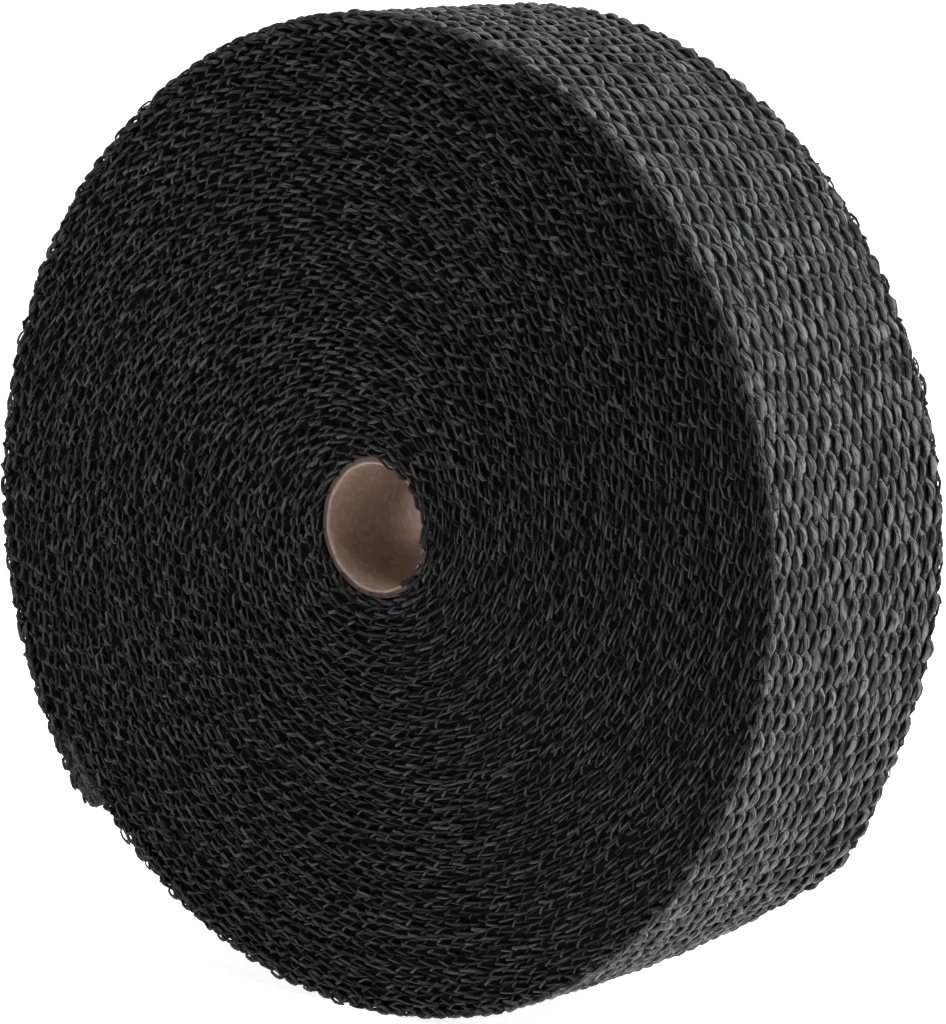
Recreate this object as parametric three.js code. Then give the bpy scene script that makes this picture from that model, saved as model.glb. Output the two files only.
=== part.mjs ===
// A roll of exhaust heat wrap: woven glass fibre tape, wound in flat turns on a cardboard core tube.
// Millimetres, +Z up. The roll stands on its rim, its axis lies along Y and its front end faces -Y.
// The origin is on the ground, under the middle of the roll. Angles are in degrees, and are counted
// anticlockwise from +X as seen from the front.
import * as THREE from 'three';

// The tape, with its thickness as it lies in the roll
const TAPE_WIDTH = 50.8;
const TAPE_THICKNESS = 1.83;
const TURNS = 44;

// The core tube, and how far its ends stand back from the tape's edges
const CORE_BORE = 24;
const CORE_WALL = 1.6;
const CORE_RECESS = 2.2;
const FIT_GAP = 0.3;

// The turns on each end of the roll: a ridge for every few turns, with a groove between ridges
const TURNS_PER_RIDGE = 3;
const GROOVE_DEPTH = 0.9;
const EDGE_ROUNDING = 0.7;

// The tape's cut end on the rim: its place, how far the outer turn has climbed there, and the run over
// which the rim drops back to the turn below
const TAPE_END_ANGLE = 218;
const TAPE_END_LIFT = 3.2;
const TAPE_END_RUN = 1.2;

// How far the soft roll has settled out of round: a shift off the core, an oval and a third lobe
const SHIFT = 1.2;
const SHIFT_ANGLE = 169;
const OVAL = 1.05;
const OVAL_ANGLE = 15;
const LOBE = 0.7;
const LOBE_ANGLE = -40;

const SEGMENTS = 60;
const CORE_SEGMENTS = 40;

const coreRadius = CORE_BORE / 2 + CORE_WALL;
const boreRadius = coreRadius + FIT_GAP;
const rollRadius = boreRadius + TURNS * TAPE_THICKNESS;
const halfWidth = TAPE_WIDTH / 2;
const radians = THREE.MathUtils.degToRad;

// Section of the wound tape, as a closed loop: out along the front end, across the rim and back along
// the rear end. The outermost turn has a ridge of its own.
function woundSection() {
  const front = [new THREE.Vector2(boreRadius, -halfWidth + EDGE_ROUNDING)];
  let turn = 0;
  while (turn < TURNS) {
    const ridge = Math.min(TURNS_PER_RIDGE, Math.max(TURNS - turn - 1, 1));
    const crest = boreRadius + (turn + ridge / 2) * TAPE_THICKNESS;
    front.push(new THREE.Vector2(crest, -halfWidth));
    turn += ridge;
    const inset = turn < TURNS ? GROOVE_DEPTH : EDGE_ROUNDING;
    front.push(new THREE.Vector2(boreRadius + turn * TAPE_THICKNESS, -halfWidth + inset));
  }
  const rear = front.map((point) => new THREE.Vector2(point.x, -point.y)).reverse();
  return [...front, ...rear, front[0].clone()].reverse();
}

// How far the settled rim stands out at an angle: waves of one, two and three periods round the roll.
function outOfRound(angle) {
  const shift = SHIFT * Math.cos(angle - radians(SHIFT_ANGLE));
  const oval = OVAL * Math.cos(2 * (angle - radians(OVAL_ANGLE)));
  const lobe = LOBE * Math.cos(3 * (angle - radians(LOBE_ANGLE)));
  return shift + oval + lobe;
}

// Angle of a column of the section. The first and the last column stand on the two sides of the tape's
// cut end, and the others are spread evenly between them.
function columnAngle(column) {
  const gap = TAPE_END_RUN / rollRadius;
  return radians(TAPE_END_ANGLE) + gap / 2 + (2 * Math.PI - gap) * (column / (SEGMENTS - 1));
}

// Distance of a point of the section from the roll's axis, in a column. The settling grows from nothing
// at the bore to its full size at the rim, and the outermost turn climbs towards the tape's cut end.
function woundRadius(distance, column) {
  const share = (distance - boreRadius) / (rollRadius - boreRadius);
  const outermost = Math.max(0, 1 - (rollRadius - distance) / TAPE_THICKNESS);
  const climb = TAPE_END_LIFT * outermost * (column / (SEGMENTS - 1));
  return distance + share * outOfRound(columnAngle(column)) + climb;
}

// The wound tape: the section turned round the axis, with each column moved to its own angle and radius.
function woundTape() {
  const section = woundSection();
  const geometry = new THREE.LatheGeometry(section, SEGMENTS);
  const position = geometry.getAttribute('position');
  for (let i = 0; i < position.count; i += 1) {
    const point = section[i % section.length];
    const column = Math.floor(i / section.length) % SEGMENTS;
    const angle = columnAngle(column);
    const radius = woundRadius(point.x, column);
    position.setXYZ(i, radius * Math.cos(angle), point.y, radius * Math.sin(angle));
  }
  return geometry;
}

// The core: a plain tube of rolled board, a little shorter than the tape is wide.
function coreTube() {
  const inner = CORE_BORE / 2;
  const end = halfWidth - CORE_RECESS;
  const section = [
    new THREE.Vector2(inner, -end),
    new THREE.Vector2(coreRadius, -end),
    new THREE.Vector2(coreRadius, end),
    new THREE.Vector2(inner, end),
    new THREE.Vector2(inner, -end),
  ];
  return new THREE.LatheGeometry(section, CORE_SEGMENTS);
}

// The rim seen from the front, as one point for each column.
function rimOutline() {
  return Array.from({ length: SEGMENTS }, (_, column) => {
    const angle = columnAngle(column);
    const radius = woundRadius(rollRadius, column);
    return new THREE.Vector2(radius * Math.cos(angle), radius * Math.sin(angle));
  });
}

// Turns the roll until its lowest flat lies level, then sets that flat on the ground and centres the roll.
function standOnRim(roll) {
  const rim = rimOutline();
  const height = (column) => rim[column].y + rim[(column + 1) % SEGMENTS].y;
  const lowest = rim.reduce((best, _, column) => (height(column) < height(best) ? column : best), 0);
  const flat = rim[(lowest + 1) % SEGMENTS].clone().sub(rim[lowest]);
  const lean = Math.atan2(flat.y, flat.x);
  const settled = rim.map((point) => point.clone().rotateAround(new THREE.Vector2(), -lean));
  const across = settled.map((point) => point.x);
  roll.rotation.y = lean;
  roll.position.x = -(Math.min(...across) + Math.max(...across)) / 2;
  roll.position.z = -settled[lowest].y;
}

function piece(name, geometry, color, roughness) {
  const mesh = new THREE.Mesh(geometry, new THREE.MeshStandardMaterial({ color, roughness, metalness: 0 }));
  mesh.name = name;
  return mesh;
}

const roll = new THREE.Group();
roll.add(piece('wrap_tape', woundTape(), 0x2b2c2d, 0.62));
roll.add(piece('core_tube', coreTube(), 0x7a5a4a, 0.85));
standOnRim(roll);

const exhaustWrap = new THREE.Group();
exhaustWrap.add(roll);

export default exhaustWrap;
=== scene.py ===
"""Exhaust heat wrap: a roll of black woven glass fibre tape on a brown cardboard core, standing on its rim.

Metres, +Z up. The roll's axis lies along Y and its front end faces -Y. Angles round the roll are counted
anticlockwise from +X as seen from the front, and places along the tape are counted in turns from the core.
"""

import bpy
import numpy as np
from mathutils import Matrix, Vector


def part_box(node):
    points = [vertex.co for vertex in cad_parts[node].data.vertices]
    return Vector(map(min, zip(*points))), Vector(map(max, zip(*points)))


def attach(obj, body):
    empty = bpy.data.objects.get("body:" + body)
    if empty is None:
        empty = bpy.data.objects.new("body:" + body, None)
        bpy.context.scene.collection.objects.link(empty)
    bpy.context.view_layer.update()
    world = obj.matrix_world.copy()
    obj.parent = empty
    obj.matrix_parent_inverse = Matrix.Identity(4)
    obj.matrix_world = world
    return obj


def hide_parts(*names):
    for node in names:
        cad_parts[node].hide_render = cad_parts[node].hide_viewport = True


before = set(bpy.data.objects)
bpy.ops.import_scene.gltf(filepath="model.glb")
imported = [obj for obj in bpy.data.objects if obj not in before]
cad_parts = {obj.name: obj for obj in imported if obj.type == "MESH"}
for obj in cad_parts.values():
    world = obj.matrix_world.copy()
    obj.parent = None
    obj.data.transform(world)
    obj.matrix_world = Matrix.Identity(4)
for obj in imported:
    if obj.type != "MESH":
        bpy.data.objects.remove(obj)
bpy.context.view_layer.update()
MM = 0.001

# The stage: a sheet of white paper that lies under the roll and bends up into a wall behind it, as in a
# small photo tent. The tent's light shines through the paper. It isn't part of the roll.
PAPER_COLOUR = (0.85, 0.85, 0.85, 1.0)
PAPER_GLOW = 1.0
PAPER_FRONT = 0.6
PAPER_SIDE = 1.6
WALL_START = 0.7
WALL_BEND = 0.4
WALL_HEIGHT = 1.8


def paper_sweep(name):
    """A profile of floor, quarter-circle bend and wall in the Y-Z plane, carried straight along X."""
    arc = np.linspace(0, np.pi / 2, 25)
    run = np.concatenate([[-PAPER_FRONT], WALL_START + WALL_BEND * np.sin(arc), [WALL_START + WALL_BEND]])
    rise = np.concatenate([[0.0], WALL_BEND * (1 - np.cos(arc)), [WALL_HEIGHT]])
    points = np.zeros((len(run), 2, 3))
    points[:, :, 0] = np.array([-PAPER_SIDE, PAPER_SIDE])
    points[:, :, 1] = run[:, None]
    points[:, :, 2] = rise[:, None]
    start = 2 * np.arange(len(run) - 1)[:, None]
    faces = start + np.array([0, 1, 3, 2])
    mesh = bpy.data.meshes.new(name)
    mesh.from_pydata(points.reshape(-1, 3).tolist(), [], faces.tolist())
    mesh.shade_smooth()
    sheet = bpy.data.objects.new(name, mesh)
    bpy.context.scene.collection.objects.link(sheet)
    return sheet


floor = paper_sweep("floor")
paper = bpy.data.materials.new("floor_paper")
paper.use_nodes = True
paper_shader = paper.node_tree.nodes["Principled BSDF"]
paper_shader.inputs["Base Color"].default_value = PAPER_COLOUR
paper_shader.inputs["Roughness"].default_value = 0.8
paper_shader.inputs["Emission Color"].default_value = PAPER_COLOUR
paper_shader.inputs["Emission Strength"].default_value = PAPER_GLOW
floor.data.materials.append(paper)

# The camera stands to the right of the roll and a little above it, and looks slightly down at its front
# end. The lens is given by how many pixels of the photograph one metre at one metre away covers.
CAMERA_AZIMUTH = 40.95
CAMERA_RISE = 8.84
CAMERA_DISTANCE = 0.852
LENS_PIXELS = 4449.0
PHOTO_WIDTH, PHOTO_HEIGHT = 946, 1024
PHOTO_CENTRE = (456.9, 513.1)
SENSOR = 24.0

core_low, core_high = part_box("core_tube")
axis_x = (core_low.x + core_high.x) / 2
axis_z = (core_low.z + core_high.z) / 2

azimuth, rise = np.radians(CAMERA_AZIMUTH), np.radians(CAMERA_RISE)
backward = Vector((np.sin(azimuth) * np.cos(rise), -np.cos(azimuth) * np.cos(rise), np.sin(rise)))
right = Vector((0, 0, 1)).cross(backward).normalized()
upward = backward.cross(right)
pixel = CAMERA_DISTANCE / LENS_PIXELS
aim = (
    Vector((axis_x, 0, axis_z))
    + right * (PHOTO_WIDTH / 2 - PHOTO_CENTRE[0]) * pixel
    - upward * (PHOTO_HEIGHT / 2 - PHOTO_CENTRE[1]) * pixel
)
lens = bpy.data.cameras.new("photo_camera")
lens.sensor_fit = "VERTICAL"
lens.sensor_height = SENSOR
lens.lens = SENSOR * LENS_PIXELS / PHOTO_HEIGHT
lens.clip_start = 0.01
camera = bpy.data.objects.new("photo_camera", lens)
camera.location = aim + backward * CAMERA_DISTANCE
camera.rotation_euler = backward.to_track_quat("Z", "Y").to_euler()
bpy.context.scene.collection.objects.link(camera)
bpy.context.scene.camera = camera

# The light: soft boxes behind the right shoulder of the roll and above it, so that the rim is several
# times brighter than the front end, one in front, one behind that shines into the core, and a dim surround.
SURROUND = (1.0, 1.0, 1.0, 1.0)
SURROUND_STRENGTH = 0.05


def soft_box(name, place, size, power, beam, target):
    """A square area light at a place, turned to face a target point. Its grid narrows the light to a
    beam of the given angle in degrees."""
    light = bpy.data.lights.new(name, "AREA")
    light.size = size
    light.energy = power
    light.spread = np.radians(beam)
    lamp = bpy.data.objects.new(name, light)
    lamp.location = place
    lamp.rotation_euler = (Vector(target) - Vector(place)).to_track_quat("-Z", "Y").to_euler()
    bpy.context.scene.collection.objects.link(lamp)


roll_middle = (axis_x, 0.0, axis_z)
soft_box("right_box", (0.82, 0.45, 0.72), 0.4, 6.1, 180, roll_middle)
soft_box("back_box", (0.6, 0.66, 0.27), 0.25, 0.13, 15, roll_middle)
soft_box("top_box", (0.0, -0.25, 1.05), 0.4, 6.0, 180, roll_middle)
soft_box("front_box", (-0.36, -0.42, 0.26), 0.2, 0.4, 180, roll_middle)

world = bpy.data.worlds.new("surround")
bpy.context.scene.world = world
world.use_nodes = True
world.node_tree.nodes["Background"].inputs["Color"].default_value = SURROUND
world.node_tree.nodes["Background"].inputs["Strength"].default_value = SURROUND_STRENGTH
bpy.context.scene.view_settings.view_transform = "Standard"


# The core tube: a short tube of brown board, rolled from strips wound in a slow helix and glued. Its cut
# ends show the plies, and the tape is wound straight on it.
CORE_WALL = 1.6 * MM
CORE_COLUMNS = 160
CORE_WALL_ROWS, CORE_END_ROWS = 24, 6
CORE_ROUNDING = 0.25 * MM
STRIP_WIDTH = 38 * MM
JOINT_DEPTH, JOINT_HALF_WIDTH = 0.12 * MM, 0.5 * MM
BOARD_BROWN = (0.38, 0.245, 0.185, 1.0)
BOARD_DARK = (0.19, 0.12, 0.088, 1.0)
BOARD_PALE = (0.50, 0.39, 0.33, 1.0)
BOARD_END = (0.085, 0.06, 0.053, 1.0)

core_radius = (core_high.x - core_low.x) / 2
core_bore = core_radius - CORE_WALL
core_end = core_high.y


def add_piece(name, points, loops, sizes, uv, material):
    """A mesh from an array of points, the corners of its faces, face by face, how many corners each face
    has, and a UV for each corner."""
    mesh = bpy.data.meshes.new(name)
    mesh.vertices.add(len(points))
    mesh.vertices.foreach_set("co", np.ascontiguousarray(points, dtype=np.float32).ravel())
    mesh.loops.add(len(loops))
    mesh.loops.foreach_set("vertex_index", loops.astype(np.int32))
    mesh.polygons.add(len(sizes))
    starts = np.concatenate([[0], np.cumsum(sizes)[:-1]]).astype(np.int32)
    mesh.polygons.foreach_set("loop_start", starts)
    corners = np.ascontiguousarray(uv, dtype=np.float32).ravel()
    mesh.uv_layers.new(name="UVMap").uv.foreach_set("vector", corners)
    mesh.update(calc_edges=True)
    mesh.shade_smooth()
    mesh.materials.append(material)
    piece = bpy.data.objects.new(name, mesh)
    bpy.context.scene.collection.objects.link(piece)
    return piece


def closed_grid(rows, columns):
    """Corners of the quads of a grid that closes on itself both ways, and each corner's (row, column)."""
    r, c = np.meshgrid(np.arange(rows), np.arange(columns), indexing="ij")
    corner_r = np.stack([r, r, r + 1, r + 1], -1).reshape(-1)
    corner_c = np.stack([c, c + 1, c + 1, c], -1).reshape(-1)
    return (corner_r % rows) * columns + corner_c % columns, corner_r, corner_c


def core_surface():
    """A rounded tube section (inner wall, end, outer wall, end) carried round the axis, with the helical
    joint of the strips pressed a little into both walls. A low wave leaves both ends cut a little
    unevenly."""
    wall = np.linspace(-core_end + CORE_ROUNDING, core_end - CORE_ROUNDING, CORE_WALL_ROWS)
    lip = np.linspace(core_bore + CORE_ROUNDING, core_radius - CORE_ROUNDING, CORE_END_ROWS)
    end = np.full(CORE_END_ROWS, core_end)
    along = np.concatenate([wall, end, wall[::-1], -end])[:, None]
    inner = np.full(CORE_WALL_ROWS, core_bore)
    outer = np.full(CORE_WALL_ROWS, core_radius)
    out = np.concatenate([inner, lip, outer, lip[::-1]])[:, None]
    angle = np.linspace(0, 2 * np.pi, CORE_COLUMNS, endpoint=False)
    strip = (along / STRIP_WIDTH + angle / (2 * np.pi)) % 1.0
    joint = JOINT_DEPTH * np.exp(-(((strip - 0.5) * STRIP_WIDTH / JOINT_HALF_WIDTH) ** 2))
    radius = out + np.where(out < (core_bore + core_radius) / 2, joint, -joint)
    end_wave = 0.12 * MM * np.sin(3 * angle + 1.0) + 0.07 * MM * np.sin(11 * angle)
    at_end = np.abs(along) > core_end - CORE_ROUNDING / 2
    x = axis_x + radius * np.cos(angle)
    y = along + np.where(at_end, end_wave, 0)
    z = axis_z + radius * np.sin(angle)
    return np.stack([x, y, z], -1)


def board_material():
    """Brown board: long paper fibres, blotches of glue and a paler fuzzy cut edge on the tube's ends."""
    material = bpy.data.materials.new("core_board")
    material.use_nodes = True
    tree = material.node_tree
    shader = tree.nodes["Principled BSDF"]
    place = tree.nodes.new("ShaderNodeTexCoord")
    spread = tree.nodes.new("ShaderNodeMapping")
    spread.inputs["Scale"].default_value = (1.0, 1.0, 0.8)
    tree.links.new(place.outputs["Object"], spread.inputs["Vector"])
    fibre = tree.nodes.new("ShaderNodeTexNoise")
    fibre.inputs["Scale"].default_value = 900.0
    fibre.inputs["Detail"].default_value = 4.0
    tree.links.new(spread.outputs["Vector"], fibre.inputs["Vector"])
    blotch = tree.nodes.new("ShaderNodeTexNoise")
    blotch.inputs["Scale"].default_value = 190.0
    blotch.inputs["Detail"].default_value = 3.0
    tree.links.new(place.outputs["Object"], blotch.inputs["Vector"])
    tint = tree.nodes.new("ShaderNodeMix")
    tint.data_type = "RGBA"
    tint.inputs["A"].default_value = BOARD_DARK
    tint.inputs["B"].default_value = BOARD_BROWN
    tree.links.new(blotch.outputs["Fac"], tint.inputs["Factor"])
    fleck = tree.nodes.new("ShaderNodeMapRange")
    fleck.inputs["From Min"].default_value = 0.45
    fleck.inputs["From Max"].default_value = 0.8
    fleck.inputs["To Max"].default_value = 0.5
    tree.links.new(fibre.outputs["Fac"], fleck.inputs["Value"])
    speckled = tree.nodes.new("ShaderNodeMix")
    speckled.data_type = "RGBA"
    speckled.inputs["B"].default_value = BOARD_PALE
    tree.links.new(tint.outputs["Result"], speckled.inputs["A"])
    tree.links.new(fleck.outputs["Result"], speckled.inputs["Factor"])
    apart = tree.nodes.new("ShaderNodeSeparateXYZ")
    tree.links.new(place.outputs["Object"], apart.inputs["Vector"])
    depth = tree.nodes.new("ShaderNodeMath")
    depth.operation = "ABSOLUTE"
    tree.links.new(apart.outputs["Y"], depth.inputs[0])
    edge = tree.nodes.new("ShaderNodeMapRange")
    edge.inputs["From Min"].default_value = core_end - 0.7 * MM
    edge.inputs["From Max"].default_value = core_end - 0.2 * MM
    edge.inputs["To Max"].default_value = 0.9
    tree.links.new(depth.outputs["Value"], edge.inputs["Value"])
    edged = tree.nodes.new("ShaderNodeMix")
    edged.data_type = "RGBA"
    edged.inputs["B"].default_value = BOARD_PALE
    tree.links.new(speckled.outputs["Result"], edged.inputs["A"])
    worn = tree.nodes.new("ShaderNodeMath")
    worn.operation = "MULTIPLY"
    tree.links.new(edge.outputs["Result"], worn.inputs[0])
    tree.links.new(fibre.outputs["Fac"], worn.inputs[1])
    tree.links.new(worn.outputs["Value"], edged.inputs["Factor"])
    centre = tree.nodes.new("ShaderNodeVectorMath")
    centre.operation = "SUBTRACT"
    centre.inputs[1].default_value = (axis_x, 0.0, axis_z)
    tree.links.new(place.outputs["Object"], centre.inputs[0])
    flat = tree.nodes.new("ShaderNodeVectorMath")
    flat.operation = "MULTIPLY"
    flat.inputs[1].default_value = (1.0, 0.0, 1.0)
    tree.links.new(centre.outputs["Vector"], flat.inputs[0])
    radius = tree.nodes.new("ShaderNodeVectorMath")
    radius.operation = "LENGTH"
    tree.links.new(flat.outputs["Vector"], radius.inputs[0])
    plies = tree.nodes.new("ShaderNodeMapRange")
    plies.inputs["From Min"].default_value = core_bore + 0.25 * MM
    plies.inputs["From Max"].default_value = core_bore + 0.5 * MM
    plies.inputs["To Max"].default_value = 0.88
    tree.links.new(radius.outputs["Value"], plies.inputs["Value"])
    ended = tree.nodes.new("ShaderNodeMix")
    ended.data_type = "RGBA"
    ended.inputs["B"].default_value = BOARD_END
    tree.links.new(edged.outputs["Result"], ended.inputs["A"])
    tree.links.new(plies.outputs["Result"], ended.inputs["Factor"])
    tree.links.new(ended.outputs["Result"], shader.inputs["Base Color"])
    shader.inputs["Roughness"].default_value = 0.85
    bump = tree.nodes.new("ShaderNodeBump")
    bump.inputs["Strength"].default_value = 0.5
    bump.inputs["Distance"].default_value = 0.2 * MM
    tree.links.new(fibre.outputs["Fac"], bump.inputs["Height"])
    tree.links.new(bump.outputs["Normal"], shader.inputs["Normal"])
    return material


core_points = core_surface()
core_rows = core_points.shape[0]
core_loops, core_r, core_c = closed_grid(core_rows, CORE_COLUMNS)
core_uv = np.stack([core_c / CORE_COLUMNS, core_r / core_rows], -1)
core_board = add_piece(
    "core_board", core_points.reshape(-1, 3), core_loops,
    np.full(len(core_loops) // 4, 4), core_uv, board_material(),
)
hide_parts("core_tube")
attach(core_board, "root")

# The winding: one tape wound in a flat spiral from the core outwards. The soft roll has settled a little
# out of round, and the last turn springs off the roll towards the tape's cut end. The whole roll is turned
# by its lean, in degrees, and so stands on its lowest flat.
TAPE_THICKNESS = 1.83 * MM
TURNS = 44
FIT_GAP = 0.3 * MM
LEAN = 0.52
TAPE_END_ANGLE = np.radians(218 - LEAN)
TAPE_END_LIFT = 3.2 * MM
SHIFT, SHIFT_ANGLE = 1.2 * MM, np.radians(169 - LEAN)
OVAL, OVAL_ANGLE = 1.05 * MM, np.radians(15 - LEAN)
LOBE, LOBE_ANGLE = 0.7 * MM, np.radians(-40 - LEAN)

# The height of each bell in the rear edge's sag, with its middle angle and its width in degrees
REAR_BELLS = ((2.5 * MM, -39.0, 8.0), (-1.9 * MM, -70.0, 22.0), (0.8 * MM, 4.0, 18.0))

# The tape's cut end, in turns, and how far its last stretch curls off the roll
CUT_END = TURNS + 0.0075
CUT_END_CURL, CUT_END_CURL_RUN = 1.4 * MM, 0.037
YARN_GROUND = 0.05 * MM

tape_low, tape_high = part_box("wrap_tape")
half_width = tape_high.y
bore = core_radius + FIT_GAP
roll_radius = bore + TURNS * TAPE_THICKNESS


def rear_sag(angle, across):
    """How far the rear edge of the rim is pushed in or out: a bulge on its lower right, a flat below that
    and a low swell on its right, each a bell curve of the angle that grows towards the rear edge."""
    towards_rear = np.clip(across / half_width, 0, 1) ** 1.5
    sag = 0
    for height, middle, width in REAR_BELLS:
        off = (angle - np.radians(middle) + np.pi) % (2 * np.pi) - np.pi
        sag = sag + height * np.exp(-((off / np.radians(width)) ** 2))
    return sag * towards_rear


def wound_radius(turn, out, across):
    """Distance from the roll's axis: the spiral's own radius, plus waves of one, two and three periods and
    the rear edge's sag, that grow from the bore to the rim, plus the spring of the last turn and the curl
    of its cut end."""
    angle = TAPE_END_ANGLE + 2 * np.pi * turn
    laid = bore + TAPE_THICKNESS * (turn + 0.5) + out
    share = (laid - bore) / (roll_radius - bore)
    settled = (
        SHIFT * np.cos(angle - SHIFT_ANGLE)
        + OVAL * np.cos(2 * (angle - OVAL_ANGLE))
        + LOBE * np.cos(3 * (angle - LOBE_ANGLE))
    )
    spring = (TAPE_END_LIFT - TAPE_THICKNESS) * np.clip(turn - (TURNS - 1), 0, 1.02)
    spring = spring + CUT_END_CURL * np.exp((turn - CUT_END) / CUT_END_CURL_RUN)
    return laid + share * settled + share**6 * rear_sag(angle, across) + spring


def wound_place(turn, out, across):
    """Points on the roll: a place along the tape in turns, a distance out of the tape's middle, and a
    place across the tape. A yarn's middle never goes below the ground that the roll stands on."""
    angle = TAPE_END_ANGLE + 2 * np.pi * turn
    radius = wound_radius(turn, out, across)
    x = axis_x + radius * np.cos(angle)
    z = axis_z + radius * np.sin(angle)
    return np.stack([x, across + 0 * x, np.maximum(z, YARN_GROUND)], -1)


def turn_at(length):
    """The place in turns at a length of tape from the core: the inverse of the spiral's arc length."""
    first = bore + TAPE_THICKNESS / 2
    return (np.sqrt(first**2 + TAPE_THICKNESS * length / np.pi) - first) / TAPE_THICKNESS


def length_at(turn):
    """The length of tape from the core to a place in turns."""
    first = bore + TAPE_THICKNESS / 2
    return 2 * np.pi * (first * turn + TAPE_THICKNESS * turn**2 / 2)


# The body of the wound tape, under its face yarns: what shows between the yarns is the weave's black with
# painted shade of the gaps between the yarns, with a groove between each turn and the next on both ends and
# a step at the tape's cut end.
BODY_RINGS = 3 * TURNS
BODY_COLUMNS = 120
BODY_RIM_ROWS = 9
BODY_RIM_SHARE = 0.85
BODY_OUT = 0.1 * MM
BODY_GROUND = 0.3 * MM
BODY_DEPTH = 1.1 * MM
BODY_GROOVE = 0.8 * MM
STEP_RUN = 0.002
# The body's colours are the weave's black, darkened further as painted shade of the gaps between the yarns.
WEAVE_BLACK = (0.002, 0.002, 0.002, 1.0)
WEAVE_GREY = (0.012, 0.012, 0.012, 1.0)


def body_surface():
    """Rings from the bore to the rim on the front end, and back on the rear end. The groove is a cosine of
    the place between two turns, and the rim lies at the middle of the last turn."""
    share = np.linspace(0, 1, BODY_RINGS)[:, None]
    step = (np.linspace(0, 1 - STEP_RUN, BODY_COLUMNS) + CUT_END - TURNS)[None, :]
    angle = TAPE_END_ANGLE + 2 * np.pi * step
    turn = TURNS - 1 + step
    front = bore + share * (wound_radius(turn, BODY_OUT, -half_width) - bore)
    rear = bore + share * (wound_radius(turn, BODY_OUT, half_width) - bore)
    place = share * (TURNS - 0.5 + step) - step
    level = half_width - BODY_DEPTH - BODY_GROOVE * (1 + np.cos(2 * np.pi * place)) / 2
    middle = np.linspace(-BODY_RIM_SHARE, BODY_RIM_SHARE, BODY_RIM_ROWS)[:, None] * half_width + 0 * step
    crown = wound_radius(turn, BODY_OUT, middle)
    radius = np.concatenate([front, crown, rear[::-1]])
    across = np.concatenate([-level, middle, level[::-1]])
    x = axis_x + radius * np.cos(angle)
    z = np.maximum(axis_z + radius * np.sin(angle), BODY_GROUND)
    return np.stack([x, across, z], -1)


weave_black_and_gap_shade = bpy.data.materials.new("weave_black_and_gap_shade")
weave_black_and_gap_shade.use_nodes = True
weave_tree = weave_black_and_gap_shade.node_tree
weave_shader = weave_tree.nodes["Principled BSDF"]
weave_place = weave_tree.nodes.new("ShaderNodeTexCoord")
weave_noise = weave_tree.nodes.new("ShaderNodeTexNoise")
weave_noise.inputs["Scale"].default_value = 900.0
weave_mix = weave_tree.nodes.new("ShaderNodeMix")
weave_mix.data_type = "RGBA"
weave_mix.inputs["A"].default_value = WEAVE_BLACK
weave_mix.inputs["B"].default_value = WEAVE_GREY
weave_tree.links.new(weave_place.outputs["Object"], weave_noise.inputs["Vector"])
weave_tree.links.new(weave_noise.outputs["Fac"], weave_mix.inputs["Factor"])
weave_tree.links.new(weave_mix.outputs["Result"], weave_shader.inputs["Base Color"])
weave_shader.inputs["Roughness"].default_value = 0.9
weave_shader.inputs["Specular IOR Level"].default_value = 0.1

body_points = body_surface()
body_rows = body_points.shape[0]
body_loops, body_r, body_c = closed_grid(body_rows, BODY_COLUMNS)
body_uv = np.stack([body_c / BODY_COLUMNS, body_r / body_rows], -1)
wound_body = add_piece(
    "wound_body", body_points.reshape(-1, 3), body_loops[::-1],
    np.full(len(body_loops) // 4, 4), body_uv[::-1], weave_black_and_gap_shade,
)
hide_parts("wrap_tape")
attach(wound_body, "root")

# The face yarns on the rim: 31 thick yarns run along the tape, and each passes over one pick and under
# the next. They swell where they float over a pick and are squeezed where they dive under.
PICK_PITCH = 3.93 * MM
FACE_YARNS = 31
FACE_BAND = 49.8 * MM
FLOAT_HALF_WIDTH = 1.08 * MM
DIVE_HALF_WIDTH = 0.4 * MM
FLOAT_HALF_THICK = 0.6 * MM
DIVE_HALF_THICK = 0.4 * MM
WAVE_HEIGHT = 0.5 * MM
FACE_OUT = -0.05 * MM
FACE_LEAD = 0.012
CUT_JITTER = 0.7 * MM
SAMPLES_A_PICK = 4
YARN_SEED = 7
# The face yarns' colours: the black of the glass, darkened to painted shade between the filament bundles and
# lightened to painted highlights on them.
FACE_YARN_DARK = (0.004, 0.004, 0.004, 1)
FACE_YARN_HIGHLIGHT = (0.152, 0.152, 0.154, 1)

draw = np.random.default_rng(YARN_SEED)


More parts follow.
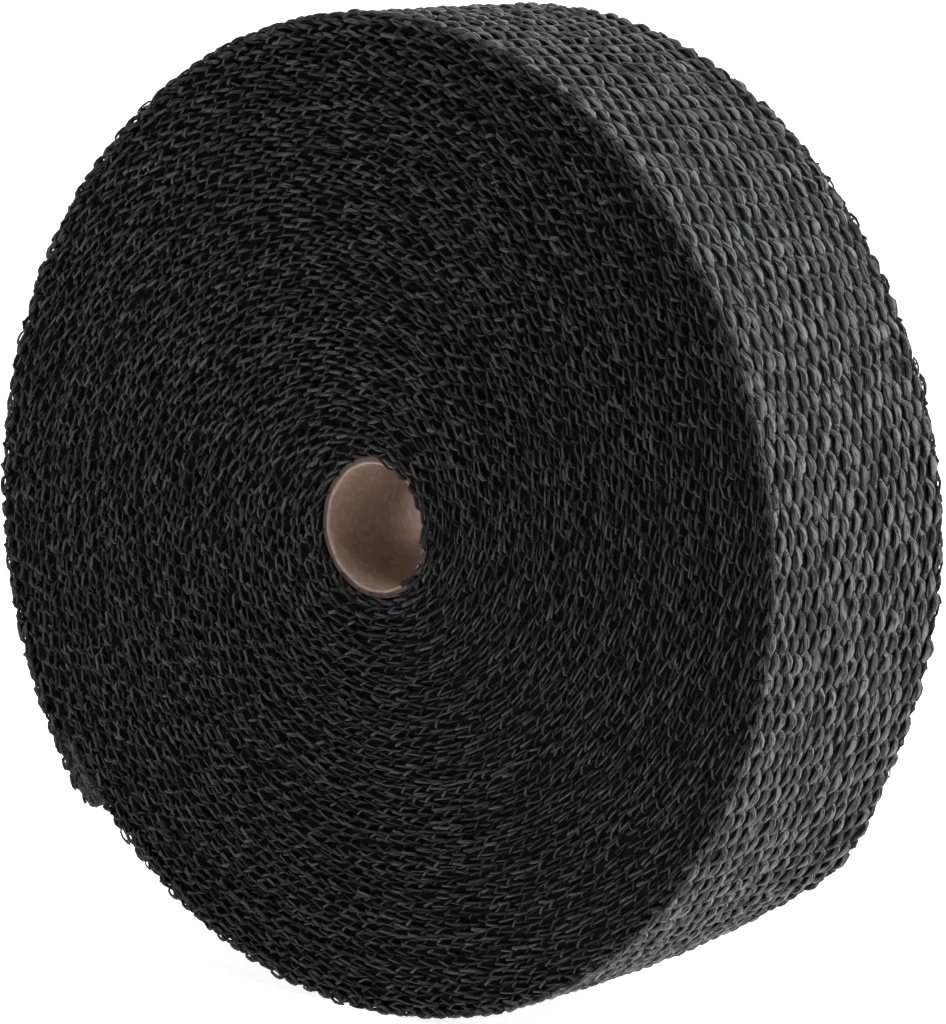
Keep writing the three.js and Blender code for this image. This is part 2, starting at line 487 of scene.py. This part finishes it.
def yarn_piece(name, centres, normals, half_wide, half_thick, section_angles, tone, material):
    """Closed yarns, each an oval section carried along its own path. The section's wide axis lies across
    the path and its thin axis along the normal. The UV is the length along the yarn and the way round it,
    and the tone is one value for each sample of each yarn."""
    count, samples, _ = centres.shape
    sides = len(section_angles)
    heading = np.gradient(centres, axis=1)
    heading /= np.linalg.norm(heading, axis=-1, keepdims=True)
    wide = np.cross(normals, heading)
    wide /= np.linalg.norm(wide, axis=-1, keepdims=True)
    thin = np.cross(heading, wide)
    c, s = np.cos(section_angles), np.sin(section_angles)
    points = (
        centres[:, :, None, :]
        + (half_wide[:, :, None] * c)[..., None] * wide[:, :, None, :]
        + (half_thick[:, :, None] * s)[..., None] * thin[:, :, None, :]
    )
    points[..., 2] = np.maximum(points[..., 2], 0)
    yarn = (np.arange(count) * samples * sides)[:, None, None]
    i, j = np.meshgrid(np.arange(samples - 1), np.arange(sides), indexing="ij")
    corner_i = np.stack([i, i, i + 1, i + 1], -1).reshape(-1)
    corner_j = np.stack([j, j + 1, j + 1, j], -1).reshape(-1)
    quads = (yarn[:, 0] + (corner_i * sides + corner_j % sides)[None, :]).ravel()
    step = np.linalg.norm(np.diff(centres, axis=1), axis=-1)
    along = np.concatenate([np.zeros((count, 1)), np.cumsum(step, axis=1)], axis=1) / MM
    quad_uv = np.stack(
        [along[:, corner_i], np.broadcast_to(corner_j / sides, (count, len(corner_j)))], -1
    ).reshape(-1, 2)
    ends = np.concatenate([np.arange(sides)[::-1], (samples - 1) * sides + np.arange(sides)])
    caps = (yarn[:, 0] + ends[None, :]).ravel()
    cap_uv = np.zeros((len(caps), 2))
    loops = np.concatenate([quads, caps])
    sizes = np.concatenate([np.full(len(quads) // 4, 4), np.full(2 * count, sides)])
    piece = add_piece(name, points.reshape(-1, 3), loops, sizes, np.concatenate([quad_uv, cap_uv]), material)
    shade = piece.data.attributes.new("tone", "FLOAT", "POINT")
    shade.data.foreach_set("value", np.repeat(tone.ravel(), sides).astype(np.float32))
    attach(piece, "root")
    return piece


def glass_yarn_group():
    """Node group for bundled glass filaments: streaks that run along the yarn and turn slowly round it,
    painted shade between the bundles and painted highlights on them, a tone for each float, and the height
    of the filaments."""
    group = bpy.data.node_groups.new("glass_yarn", "ShaderNodeTree")
    for name, kind in (
        ("Dark", "NodeSocketColor"), ("Light", "NodeSocketColor"), ("Twist", "NodeSocketFloat"),
        ("Streaks", "NodeSocketFloat"),
    ):
        group.interface.new_socket(name, in_out="INPUT", socket_type=kind)
    for name, kind in (
        ("Color", "NodeSocketColor"), ("Rough", "NodeSocketFloat"), ("Height", "NodeSocketFloat"),
    ):
        group.interface.new_socket(name, in_out="OUTPUT", socket_type=kind)
    nodes, links = group.nodes, group.links
    given = nodes.new("NodeGroupInput")
    made = nodes.new("NodeGroupOutput")
    uv = nodes.new("ShaderNodeUVMap")
    uv.uv_map = "UVMap"
    apart = nodes.new("ShaderNodeSeparateXYZ")
    links.new(uv.outputs["UV"], apart.inputs["Vector"])
    tone = nodes.new("ShaderNodeAttribute")
    tone.attribute_name = "tone"
    turned = nodes.new("ShaderNodeMath")
    turned.operation = "MULTIPLY_ADD"
    links.new(apart.outputs["X"], turned.inputs[0])
    links.new(given.outputs["Twist"], turned.inputs[1])
    links.new(apart.outputs["Y"], turned.inputs[2])
    across = nodes.new("ShaderNodeMath")
    across.operation = "MULTIPLY"
    links.new(turned.outputs["Value"], across.inputs[0])
    links.new(given.outputs["Streaks"], across.inputs[1])
    joined = nodes.new("ShaderNodeCombineXYZ")
    links.new(apart.outputs["X"], joined.inputs["X"])
    links.new(across.outputs["Value"], joined.inputs["Y"])
    links.new(tone.outputs["Fac"], joined.inputs["Z"])
    stretch = nodes.new("ShaderNodeMapping")
    stretch.inputs["Scale"].default_value = (0.3, 1.0, 30.0)
    links.new(joined.outputs["Vector"], stretch.inputs["Vector"])
    streak = nodes.new("ShaderNodeTexNoise")
    streak.inputs["Scale"].default_value = 1.0
    streak.inputs["Detail"].default_value = 3.0
    streak.inputs["Roughness"].default_value = 0.7
    links.new(stretch.outputs["Vector"], streak.inputs["Vector"])
    clear = nodes.new("ShaderNodeMapRange")
    clear.inputs["From Min"].default_value = 0.44
    clear.inputs["From Max"].default_value = 0.58
    links.new(streak.outputs["Fac"], clear.inputs["Value"])
    gain = nodes.new("ShaderNodeMath")
    gain.operation = "MULTIPLY_ADD"
    gain.inputs[1].default_value = 1.5
    gain.inputs[2].default_value = 0.2
    links.new(tone.outputs["Fac"], gain.inputs[0])
    mixed = nodes.new("ShaderNodeMath")
    mixed.operation = "MULTIPLY"
    mixed.use_clamp = True
    links.new(clear.outputs["Result"], mixed.inputs[0])
    links.new(gain.outputs["Value"], mixed.inputs[1])
    # This mix paints the colour: its dark end is painted shade between the filament bundles and its light
    # end painted highlights on them, scaled by each float's tone.
    colour = nodes.new("ShaderNodeMix")
    colour.data_type = "RGBA"
    links.new(mixed.outputs["Value"], colour.inputs["Factor"])
    links.new(given.outputs["Dark"], colour.inputs["A"])
    links.new(given.outputs["Light"], colour.inputs["B"])
    rough = nodes.new("ShaderNodeMapRange")
    rough.inputs["To Min"].default_value = 0.6
    rough.inputs["To Max"].default_value = 0.4
    links.new(clear.outputs["Result"], rough.inputs["Value"])
    links.new(colour.outputs["Result"], made.inputs["Color"])
    links.new(rough.outputs["Result"], made.inputs["Rough"])
    links.new(streak.outputs["Fac"], made.inputs["Height"])
    return group


glass_yarn = glass_yarn_group()


def yarn_material(name, dark, light, twist, streaks, bump_depth):
    """Black glass yarn with a silky sheen, from the shared filament group."""
    material = bpy.data.materials.new(name)
    material.use_nodes = True
    tree = material.node_tree
    shader = tree.nodes["Principled BSDF"]
    group = tree.nodes.new("ShaderNodeGroup")
    group.node_tree = glass_yarn
    group.inputs["Dark"].default_value = dark
    group.inputs["Light"].default_value = light
    group.inputs["Twist"].default_value = twist
    group.inputs["Streaks"].default_value = streaks
    tree.links.new(group.outputs["Color"], shader.inputs["Base Color"])
    tree.links.new(group.outputs["Rough"], shader.inputs["Roughness"])
    bump = tree.nodes.new("ShaderNodeBump")
    bump.inputs["Strength"].default_value = 0.8
    bump.inputs["Distance"].default_value = bump_depth
    tree.links.new(group.outputs["Height"], bump.inputs["Height"])
    tree.links.new(bump.outputs["Normal"], shader.inputs["Normal"])
    shader.inputs["Specular IOR Level"].default_value = 0.22
    shader.inputs["Sheen Weight"].default_value = 0.03
    shader.inputs["Sheen Roughness"].default_value = 0.4
    return material


face_yarn_material = yarn_material("face_yarn", FACE_YARN_DARK, FACE_YARN_HIGHLIGHT, 0.05, 7.0, 0.35 * MM)

first_turn = TURNS - 1 - FACE_LEAD
face_length = length_at(CUT_END) - length_at(first_turn)
face_samples = int(face_length / PICK_PITCH * SAMPLES_A_PICK) + 1

# Angles of the corners of a face yarn's section, closer together on its outer side
TOP_ROUND = np.radians([0, 38, 90, 142, 180, 270])


def pick_bow(length, across):
    """How far a pick lies ahead of its straight line across the tape, in picks: a bow over the width and
    a slow wander along the length."""
    share = across / half_width
    wander = 0.35 * np.sin(length / (41 * MM)) + 0.25 * np.sin(length / (17 * MM) + 2.0)
    return wander * share + 0.3 * (1 - share**2) + 0.12 * np.sin(length / (9 * MM) + 5 * share)


def face_yarn_paths(yarns):
    """Paths of the given yarns over the last turn. The height is a cosine over the picks, in opposite
    step on neighbouring yarns, and the width swells with it. Each float gets its own small offsets."""
    cut = face_length + draw.normal(0, CUT_JITTER, (len(yarns), 1))
    length = length_at(first_turn) + cut * np.linspace(0, 1, face_samples)[None, :]
    row = (yarns[:, None] - (FACE_YARNS - 1) / 2) * FACE_BAND / FACE_YARNS
    pick = length / PICK_PITCH + pick_bow(length, row)
    phase = pick + yarns[:, None] + draw.normal(0, 0.04, (len(yarns), 1))
    wave = np.cos(np.pi * phase)
    which = np.floor(phase + 0.5).astype(int)
    first_float = which.min()
    which -= first_float
    floats = which.max() + 1
    rows = np.arange(len(yarns))[:, None]
    size = draw.normal(1, 0.18, (len(yarns), floats))[rows, which]
    height = draw.normal(0, 0.15 * MM, (len(yarns), floats))[rows, which]
    shade = np.clip(draw.normal(0.45, 0.2, (len(yarns), floats)), 0, 1)[rows, which]
    top = np.clip(wave, 0, 1)
    out = FACE_OUT + WAVE_HEIGHT * wave + height * top
    swell = ((1 + wave) / 2) ** 1.7
    half_wide = DIVE_HALF_WIDTH + (FLOAT_HALF_WIDTH * size - DIVE_HALF_WIDTH) * swell
    half_thick = DIVE_HALF_THICK + (FLOAT_HALF_THICK - DIVE_HALF_THICK) * swell
    turn = turn_at(length) + 0 * out
    drift = 0.3 * MM * np.sin(pick * 0.11 + yarns[:, None] * 0.3)
    side_step = draw.normal(0, 0.2 * MM, (len(yarns), floats))[rows, which] * top
    along_float = np.sin(np.pi * (phase - which - first_float))
    slant = draw.normal(0.25 * MM, 0.2 * MM, (len(yarns), floats))[rows, which] * along_float
    centres = wound_place(turn, out, row + drift + slant + side_step)
    angle = TAPE_END_ANGLE + 2 * np.pi * turn
    normals = np.stack([np.cos(angle), 0 * angle, np.sin(angle)], -1)
    return centres, normals, half_wide, half_thick, shade


for part, yarns in (("front", np.arange(0, 16)), ("rear", np.arange(16, FACE_YARNS))):
    centres, normals, half_wide, half_thick, shade = face_yarn_paths(yarns)
    yarn_piece(
        f"face_yarns_{part}", centres, normals, half_wide, half_thick, TOP_ROUND, shade, face_yarn_material
    )

# The cut end of the tape: the ends of the face yarns, of the yarns under them and of those on the inner
# face stand in five rows, a little frayed, and fill the wedge between the lifted end and the roll.
END_ROWS = np.array([0.0, -1.0, -2.0, -3.0, -3.8]) * MM
END_REACH = 0.3 * MM
END_SLANT = 0.2
END_FRAY = 0.0006
END_SAMPLES = 6
END_RUN = 0.028
END_HALF_WIDTH = 0.85 * MM
END_HALF_THICK = 0.62 * MM


def cut_yarn_ends():
    """Short yarns up to the cut, in one line across the tape for each row, each with its own length. The
    cut slants: the inner rows run on further."""
    row = np.repeat(END_ROWS, FACE_YARNS)[:, None]
    yarn = np.tile(np.arange(FACE_YARNS), len(END_ROWS))[:, None]
    across = (yarn - (FACE_YARNS - 1) / 2) * FACE_BAND / FACE_YARNS
    level = CUT_END + (END_REACH - END_SLANT * row) / (2 * np.pi * roll_radius)
    last = level + draw.normal(0, END_FRAY, row.shape)
    turn = last - END_RUN * np.linspace(1, 0, END_SAMPLES)[None, :]
    sway = draw.normal(0, 0.15 * MM, turn.shape)
    centres = wound_place(turn, row + sway, across + draw.normal(0, 0.2 * MM, turn.shape))
    angle = TAPE_END_ANGLE + 2 * np.pi * turn
    normals = np.stack([np.cos(angle), 0 * angle, np.sin(angle)], -1)
    taper = np.array([1.0, 1.0, 1.0, 1.0, 0.95, 0.7]) + 0 * turn
    shade = 0.4 + draw.normal(0, 0.15, turn.shape)
    return centres, normals, END_HALF_WIDTH * taper, END_HALF_THICK * taper, shade


centres, normals, half_wide, half_thick, shade = cut_yarn_ends()
yarn_piece("cut_yarn_ends", centres, normals, half_wide, half_thick, TOP_ROUND, shade, face_yarn_material)

# The picks on the rim: double yarns that run straight across the tape, mostly hidden under the floats.
PICK_SAMPLES = 32
PICK_HALF_WIDTH = 1.3 * MM
PICK_HALF_THICK = 0.3 * MM
PICK_OUT = -0.15 * MM
PICK_INSET = 1.0 * MM
# The picks' colours are far darker than the face yarns', though they are the same black glass: painted shade
# of the crevices under and between the floats.
PICK_DARK = (0.002, 0.002, 0.002, 1)
PICK_LIGHT = (0.015, 0.015, 0.015, 1)
pick_material = yarn_material("pick_yarn_painted_shade", PICK_DARK, PICK_LIGHT, 0.1, 8.0, 0.1 * MM)

# Angles of the corners of the section of a pick, an arch or a cord
ROUND = np.radians([0, 60, 120, 180, 270])


def rim_picks():
    """One yarn across the tape for each pick of the last turn, low under the floats."""
    first = np.ceil(length_at(TURNS - 1) / PICK_PITCH + 0.3)
    last = np.floor(length_at(CUT_END) / PICK_PITCH - 0.3)
    pick = np.arange(first, last)
    across = np.linspace(-half_width + PICK_INSET, half_width - PICK_INSET, PICK_SAMPLES)
    straight = pick[:, None] * PICK_PITCH
    turn = turn_at(straight - PICK_PITCH * pick_bow(straight, across[None, :]))
    out = PICK_OUT + draw.normal(0, 0.05 * MM, turn.shape)
    centres = wound_place(turn, out, across[None, :] + 0 * turn)
    angle = TAPE_END_ANGLE + 2 * np.pi * turn
    normals = np.stack([np.cos(angle), 0 * angle, np.sin(angle)], -1)
    return centres, normals


centres, normals = rim_picks()
yarn_piece(
    "rim_picks", centres, normals, np.full(centres.shape[:2], PICK_HALF_WIDTH),
    np.full(centres.shape[:2], PICK_HALF_THICK), ROUND, np.full(centres.shape[:2], 0.3), pick_material,
)

# The selvedges: on both ends of the roll each turn shows the tape's edge, where a loop of yarn at every
# pick is caught by the next one. What shows of a loop is a long leg that leans out along the turn, a short
# one that leans back, and on the front end the outermost yarn of the weave between two loops.
LONG_LEG = np.array([[-2.6, -0.95, -1.3], [-1.7, -0.77, 0.0], [0.6, -0.12, 0.0], [1.6, 0.15, -1.2]]) * MM
SHORT_LEG = np.array([[1.5, 0.05, -1.2], [1.05, 0.3, -0.1], [0.15, 0.95, 0.0], [-0.4, 1.3, -1.3]]) * MM
OUTER_YARN = np.array([[0.2, 0.0, -1.5], [1.2, 0.1, -0.35], [2.4, 0.2, -0.3], [3.5, 0.25, -1.5]]) * MM
LEG_TAPER = np.array([0.6, 1.05, 1.0, 0.6])
LEG_HALF_WIDTH = 0.315 * MM
LEG_HALF_THICK = 0.28 * MM
LEG_JITTER = 0.08 * MM
TURN_STEP, SLOW_STEP = 0.65 * MM, 0.25 * MM
START_SUNK = 1.3 * MM
RIM_HOLLOW = 0.9 * MM
LAST_TURN_OUT = 0.35 * MM
LAST_TURN_SET, LAST_TURN_RUN = 0.5 * MM, 0.03
STRETCH, STRETCH_ANGLE = 0.25, np.radians(-40)
CORE_HANG = 1.0 * MM
CORE_HANG_ANGLES = np.radians([67, 29, -3, -44])
CORE_HANG_WIDTH = np.radians(9)
DIAMOND = np.radians([0, 90, 180, 270])
# The loops' yarn is the face yarns' black glass painted about half as bright: painted shade of the roll's
# ends, which get far less light than the rim.
LOOP_DARK = (0.002, 0.002, 0.002, 1)
LOOP_LIGHT = (0.074, 0.0745, 0.075, 1)
shaded_loop_material = yarn_material("selvedge_yarn_shaded", LOOP_DARK, LOOP_LIGHT, 0.1, 5.0, 0.2 * MM)


def slow_noise(place, periods, seed):
    """A smooth wave between -1 and 1: the mean of sines of the given periods, each with a random start."""
    starts = np.random.default_rng(seed).uniform(0, 2 * np.pi, len(periods))
    waves = [np.sin(2 * np.pi * place / period + start) for period, start in zip(periods, starts)]
    return sum(waves) / len(periods)


def selvedge_places(first, last):
    """The places in turns of the picks between two places in turns. The tape is stretched a little here
    and there, so the picks aren't quite evenly spaced."""
    pick = np.arange(np.ceil(length_at(first) / PICK_PITCH), np.ceil(length_at(last) / PICK_PITCH))
    strain = 0.9 * slow_noise(pick, (19.0, 43.0, 97.0, 211.0), 11)
    jitter = np.random.default_rng(23).normal(0, 0.08, len(pick))
    fade = np.clip((pick[-1] - pick) / 8, 0, 1)
    return turn_at((pick + (strain + jitter) * fade) * PICK_PITCH)[:, None]


def selvedge_legs(side, shape):
    """One leg for each pick, on the end that side (-1 front, +1 rear) names: the given shape (along, out
    and up, for four points) with its own size, lean, height and tone. Whole turns stand in or out a
    little. The tape's start lies deeper, and so do the turns near the rim on the right. Loops on the
    lower right are pulled longer and thinner, the last turn's loops stay within its outer face, and a
    few thick dark ones at the bore hang over the core's edge."""
    here = selvedge_places(-1.2, CUT_END - 0.003)
    count = len(here)
    size = draw.normal(1.0, 0.15, (count, 1))
    lean = draw.normal(0.0, 0.13, (count, 1))
    angle = TAPE_END_ANGLE + 2 * np.pi * here
    stretch = 1 + STRETCH * np.clip(np.cos(angle - STRETCH_ANGLE), 0, 1)
    size = size * stretch
    shift_out = draw.normal(0.0, 0.15 * MM, (count, 1)) + np.maximum(0, -TAPE_THICKNESS * (here + 0.4))
    shift_out = shift_out - LAST_TURN_SET * np.clip(here - (TURNS - 1), 0, LAST_TURN_RUN) / LAST_TURN_RUN
    sunk = START_SUNK * np.clip(-here / 0.3, 0, 1)
    to_right = np.clip(np.cos(angle), 0, 1)
    sunk = sunk + RIM_HOLLOW * to_right * np.exp(-(((here - TURNS + 2.4) / 1.6) ** 2))
    off = (angle - CORE_HANG_ANGLES + np.pi) % (2 * np.pi) - np.pi
    hang = np.exp(-((off / CORE_HANG_WIDTH) ** 2)).sum(axis=1, keepdims=True) * (here < 0.4)
    shift_out = shift_out - CORE_HANG * hang
    turn_set = TURN_STEP * slow_noise(np.floor(here), (2.3, 3.7, 7.1), 5)
    slow = turn_set + SLOW_STEP * slow_noise(here, (0.31, 0.53, 1.37), 6)
    along = (shape[:, 0] - lean * shape[:, 1]) * size + LEG_JITTER * draw.normal(size=(count, 4))
    out = shape[:, 1] + lean * shape[:, 0] * 0.6 + shift_out + 0.06 * MM * draw.normal(size=(count, 4))
    out = np.where(here > TURNS - 1, np.minimum(out, LAST_TURN_OUT), out)
    lift = draw.normal(0.0, 0.22 * MM, (count, 1)) + LEG_JITTER * draw.normal(size=(count, 4))
    rise_up = shape[:, 2] + lift + slow - sunk
    radius = bore + TAPE_THICKNESS * (here + 0.5)
    turn = here + along / (2 * np.pi * radius)
    centres = wound_place(turn, out, side * (half_width + rise_up))
    normals = np.zeros_like(centres)
    normals[..., 1] = side
    fullness = np.clip(draw.normal(1.0, 0.25, (count, 1)), 0.55, 1.7) / stretch**1.6 + 1.2 * hang
    half_wide = LEG_HALF_WIDTH * LEG_TAPER * fullness
    half_thick = LEG_HALF_THICK * LEG_TAPER * np.sqrt(fullness)
    brightness = np.clip(0.05 + draw.exponential(0.36, (count, 1)), 0, 1.3)
    tone = brightness * (1 - np.clip(hang, 0, 1)) + 0 * along
    return centres, normals, half_wide, half_thick, tone


for name, side, shape in (
    ("selvedge_front_long_legs", -1, LONG_LEG),
    ("selvedge_front_short_legs", -1, SHORT_LEG),
    ("selvedge_front_outer_yarn", -1, OUTER_YARN),
    ("selvedge_rear_long_legs", 1, LONG_LEG),
    ("selvedge_rear_short_legs", 1, SHORT_LEG),
):
    centres, normals, half_wide, half_thick, tone = selvedge_legs(side, shape)
    yarn_piece(name, centres, normals, half_wide, half_thick, DIAMOND, tone, shaded_loop_material)

# The arches: along both edges of the last turn nothing lies over the loops, and they stand off as low
# arches against the background.
ARCH_ALONG = np.array([-2.0, -1.35, -0.35, 0.75, 1.45, 0.95, -0.1, -1.25, -2.1]) * MM
ARCH_OUT = np.array([-1.0, -0.9, -0.5, 0.0, 0.35, 0.6, 0.72, 0.7, 0.45]) * MM
ARCH_RISE = np.array([-1.7, -0.8, -0.3, -0.05, -0.1, -0.05, -0.15, -0.55, -1.5]) * MM
ARCH_TAPER = np.array([0.7, 0.9, 1.0, 1.0, 0.95, 1.0, 1.05, 0.95, 0.7])
ARCH_HALF_WIDTH = 0.34 * MM
ARCH_HALF_THICK = 0.28 * MM
ARCH_SET, REAR_ARCH_SET = 0.15 * MM, 0.4 * MM


def edge_arches():
    """An arch for each pick of the last turn on each edge, with its own size, lean and height."""
    here = selvedge_places(TURNS - 1, CUT_END - 0.005)
    side = np.repeat([-1.0, 1.0], len(here))[:, None]
    here = np.concatenate([here, here])
    count = len(here)
    size = draw.normal(1.0, 0.15, (count, 1))
    lean = draw.normal(0.0, 0.15, (count, 1))
    along = (ARCH_ALONG - lean * ARCH_OUT) * size + LEG_JITTER * draw.normal(size=(count, 9))
    out = (ARCH_OUT + lean * ARCH_ALONG * 0.5) * size + draw.normal(0.0, 0.1 * MM, (count, 1))
    out = out - ARCH_SET - REAR_ARCH_SET * (side > 0)
    rise_up = ARCH_RISE + draw.normal(0.0, 0.2 * MM, (count, 1)) + LEG_JITTER * draw.normal(size=(count, 9))
    turn = here + along / (2 * np.pi * roll_radius)
    centres = wound_place(turn, out, side * (half_width + rise_up))
    normals = np.zeros_like(centres)
    normals[..., 1] = side
    fullness = np.clip(draw.normal(1.0, 0.2, (count, 1)), 0.6, 1.5)
    tone = np.clip(draw.normal(0.42, 0.2, (count, 1)), 0, 1) + 0 * along
    half_wide = ARCH_HALF_WIDTH * ARCH_TAPER * fullness
    half_thick = ARCH_HALF_THICK * ARCH_TAPER * fullness
    return centres, normals, half_wide, half_thick, tone


centres, normals, half_wide, half_thick, tone = edge_arches()
yarn_piece("edge_arches", centres, normals, half_wide, half_thick, ROUND, tone, shaded_loop_material)

# The edge cords: one yarn that runs along each edge of the last turn and holds its arches down.
EDGE_CORD_ACROSS = 0.75 * MM
EDGE_CORD_OUT = 0.3 * MM
EDGE_CORD_WAVE = 0.22 * MM
EDGE_CORD_SWAY = 0.15 * MM
EDGE_CORD_SHORT = 1.0 * MM
REAR_CORD_SET = 0.3 * MM
EDGE_CORD_HALF = 0.36 * MM


def edge_cord():
    """Two yarns along the last turn, one at each edge, that rise and fall once a pick. Their tone is painted
    lighter where they rise and darker where they dip: painted light and shade.
    """
    length = length_at(first_turn) + np.linspace(0, face_length - EDGE_CORD_SHORT, face_samples)[None, :]
    side = np.array([-1.0, 1.0])[:, None]
    pick = length / PICK_PITCH
    sway = np.sin(2 * np.pi * pick + 1.2 * np.sin(pick * 0.37))
    turn = turn_at(length) + 0 * side
    out = EDGE_CORD_OUT + EDGE_CORD_WAVE * sway - REAR_CORD_SET * (side > 0)
    centres = wound_place(turn, out, side * (half_width - EDGE_CORD_ACROSS + EDGE_CORD_SWAY * sway))
    angle = TAPE_END_ANGLE + 2 * np.pi * turn
    normals = np.stack([np.cos(angle), 0 * angle, np.sin(angle)], -1)
    half = np.full(turn.shape, EDGE_CORD_HALF)
    # The tone rises and falls with the sway: painted light where the cord stands up, painted shade where it
    # dips.
    return centres, normals, half, 0.35 + 0.2 * sway + 0 * side


centres, normals, half, shade = edge_cord()
yarn_piece("edge_cords", centres, normals, half, half, ROUND, shade, shaded_loop_material)
